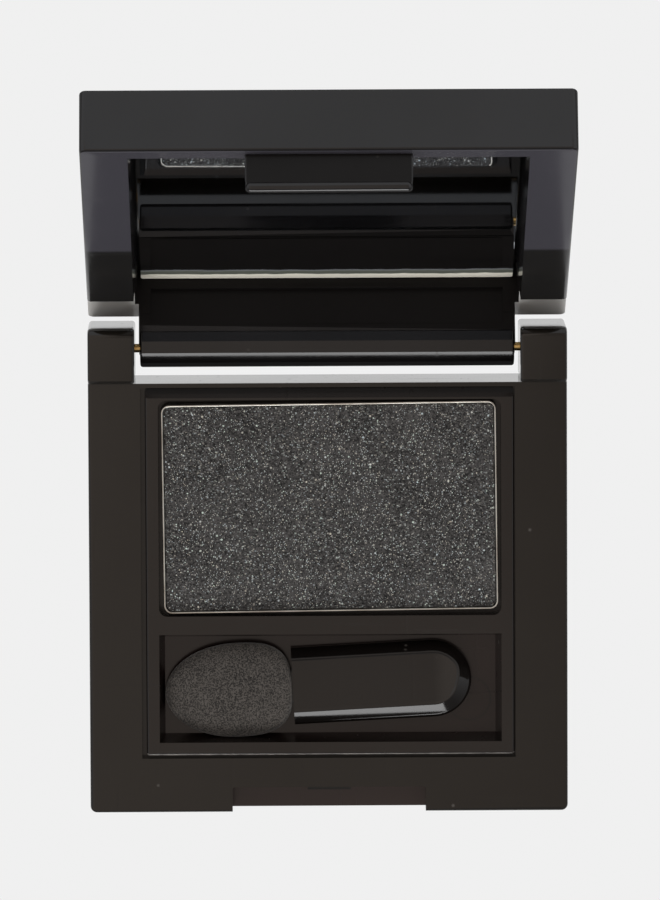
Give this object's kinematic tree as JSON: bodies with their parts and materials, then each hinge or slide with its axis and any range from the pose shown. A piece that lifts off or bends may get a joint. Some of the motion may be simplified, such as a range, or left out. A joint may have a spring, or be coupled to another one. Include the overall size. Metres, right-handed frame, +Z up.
{
  "type": "eyeshadow palette",
  "caption": "Square black compact with a hinged mirrored lid, a rectangular pan of glittery pressed powder and a short sponge applicator in its own well.",
  "frame": {"origin": "centre of the base's flat underside", "axes": "+Z up out of the base, +Y towards the hinge, +X along the hinge; the thumb notch faces -Y"},
  "size_m": [0.044, 0.0687, 0.0439],
  "materials": {
    "black_gloss": "polished injection-moulded plastic",
    "insert_black": "semi-gloss injection-moulded plastic",
    "pan_tin": "drawn tinplate, cut rim",
    "glitter_powder": "pressed powder with fine glitter",
    "sponge_foam": "flocked latex foam",
    "brass_pin": "drawn brass wire",
    "mirror_silver": "silvered glass",
    "adhesive": "double-sided adhesive film"
  },
  "bodies": {
    "base": {"base_shell": "black_gloss", "tray_insert": "insert_black", "pan_adhesive": "adhesive", "powder_pan": "pan_tin", "pressed_powder": "glitter_powder", "hinge_pin_left": "brass_pin", "hinge_pin_right": "brass_pin"},
    "lid": {"lid_shell": "black_gloss", "mirror_glass": "mirror_silver", "mirror_adhesive": "adhesive"},
    "applicator": {"applicator_handle": "black_gloss", "sponge_tip": "sponge_foam"}
  },
  "joints": [
    {"name": "lid_hinge", "type": "hinge", "parent": "base", "child": "lid", "pos_m": [0, 0.02033, 0.0057], "axis": [1, 0, 0], "range_deg": [0, 115]},
    {"name": "applicator_lift", "type": "slide", "parent": "base", "child": "applicator", "axis": [0, 0, 1], "range_m": [0, 0.0034]}
  ]
}
